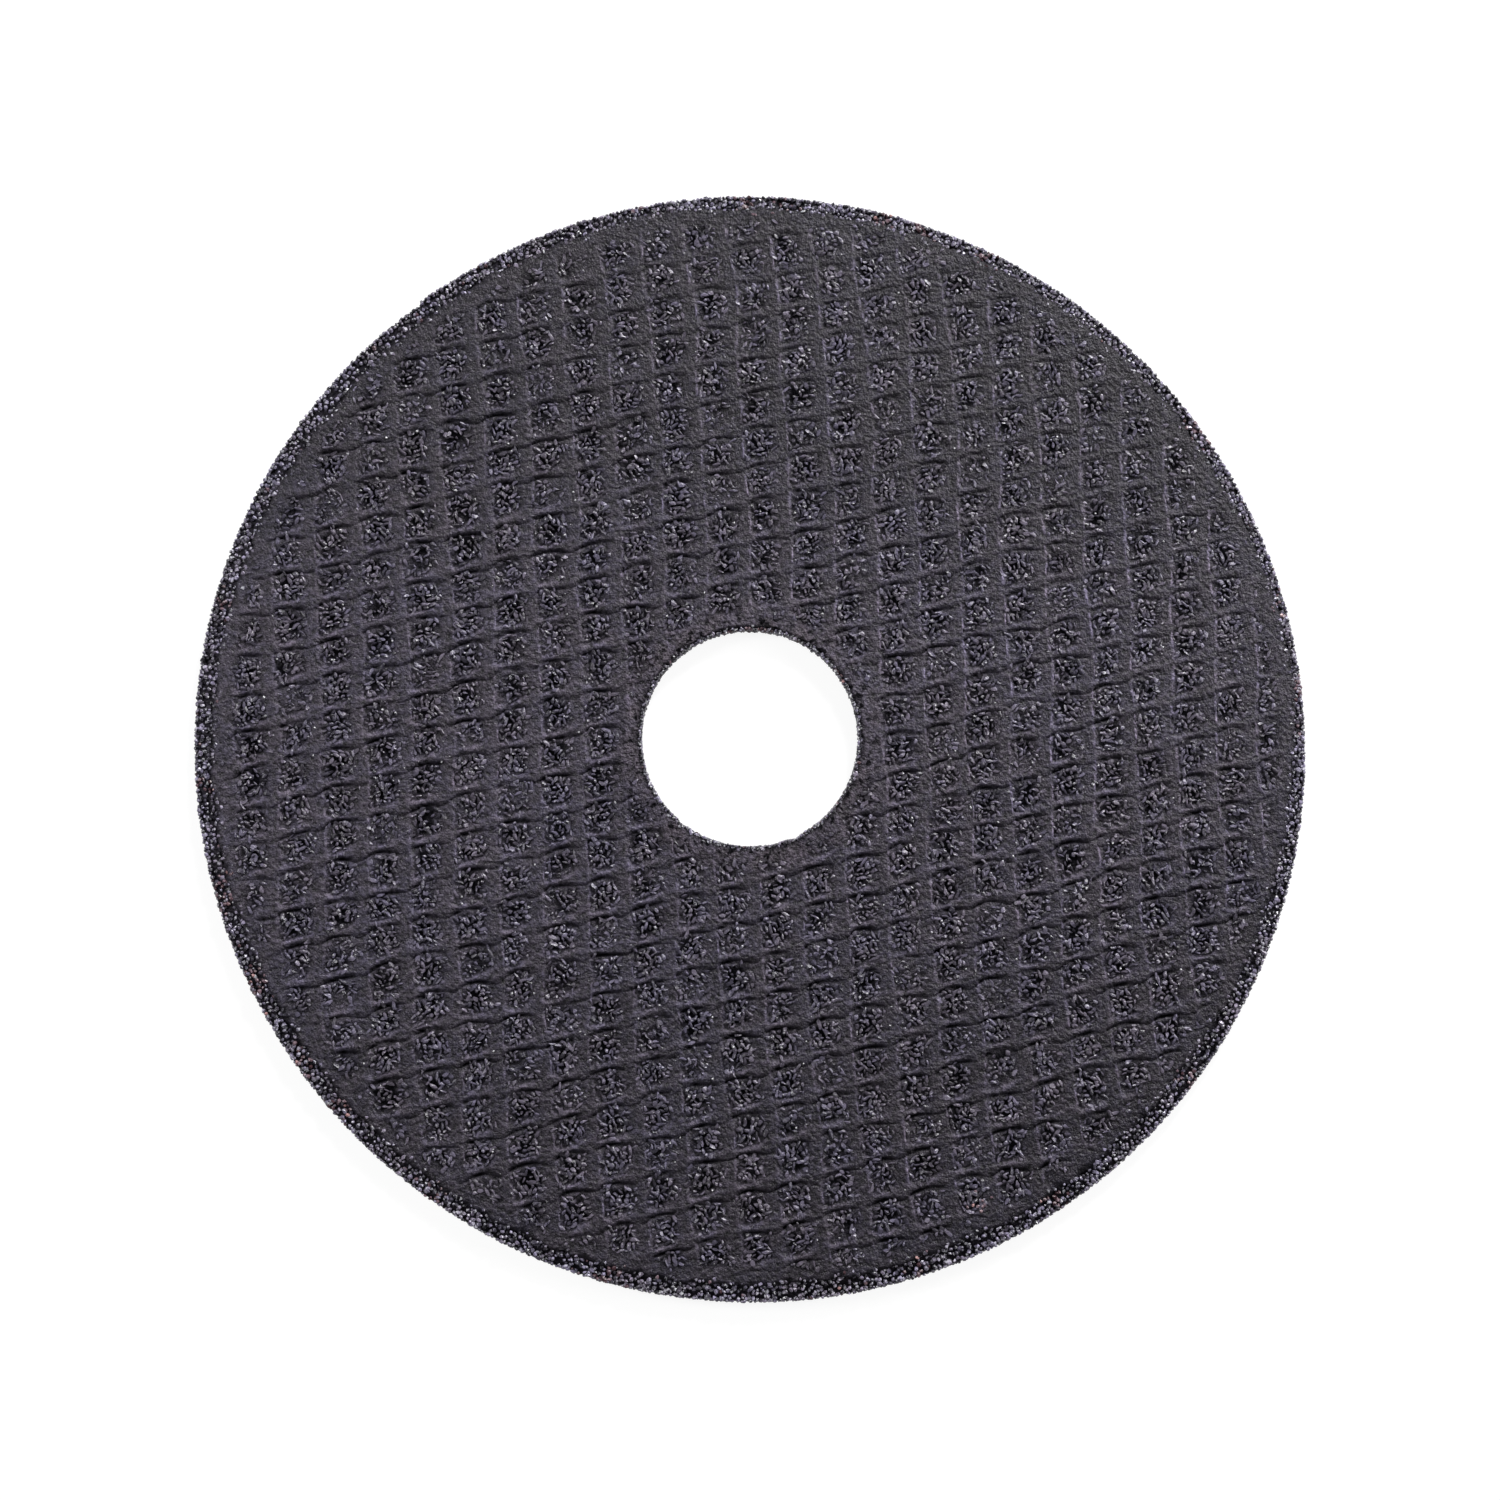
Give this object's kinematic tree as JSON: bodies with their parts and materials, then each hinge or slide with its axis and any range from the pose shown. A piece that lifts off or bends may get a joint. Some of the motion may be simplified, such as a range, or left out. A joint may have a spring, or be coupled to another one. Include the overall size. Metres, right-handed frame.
{
  "type": "cut-off wheel",
  "caption": "Thin flat abrasive cut-off wheel with a plain central bore, black bonded grain faced with a pressed glass mesh and a bare grain rim.",
  "frame": {"origin": "centre of the bore at the lower face, on which the wheel lies", "axes": "+Z along the bore, up out of the face that the picture shows; +X to the right and +Y towards the top of the picture"},
  "size_m": [0.115, 0.115, 0.0016],
  "materials": {
    "bonded_grain": "rough matt black resin bond with glints of grain"
  },
  "bodies": {
    "root": {"wheel": "bonded_grain"}
  },
  "joints": []
}
